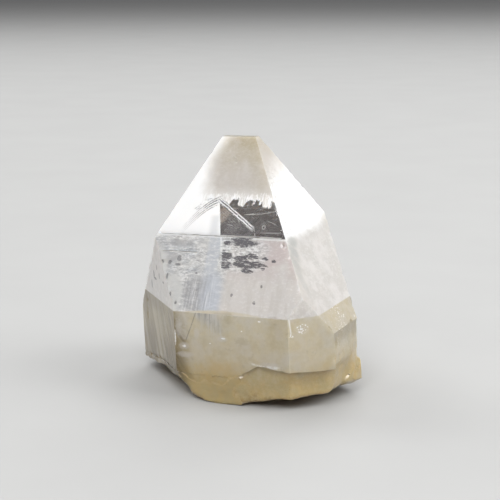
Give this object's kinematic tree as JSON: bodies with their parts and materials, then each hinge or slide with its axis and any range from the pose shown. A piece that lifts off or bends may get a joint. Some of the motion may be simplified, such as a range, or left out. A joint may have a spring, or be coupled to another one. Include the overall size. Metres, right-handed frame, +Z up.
{
  "type": "apophyllite crystal specimen",
  "caption": "Stout clear-to-cloudy apophyllite crystal: a striated square prism under a steep pyramid with a small flat tip, standing on its rough broken root.",
  "frame": {"origin": "centre of the bounding box at the level of the surface the crystal stands on", "axes": "+Z up, close to the crystal's long axis, which leans 2.5 degrees towards -X; -Y towards the viewer of the large front pyramid face"},
  "size_m": [0.041, 0.0428, 0.0457],
  "materials": {
    "apophyllite": "clear to milky mineral with glassy faces and a honey-stained, waxy broken root"
  },
  "bodies": {
    "root": {"crystal": "apophyllite"}
  },
  "joints": []
}
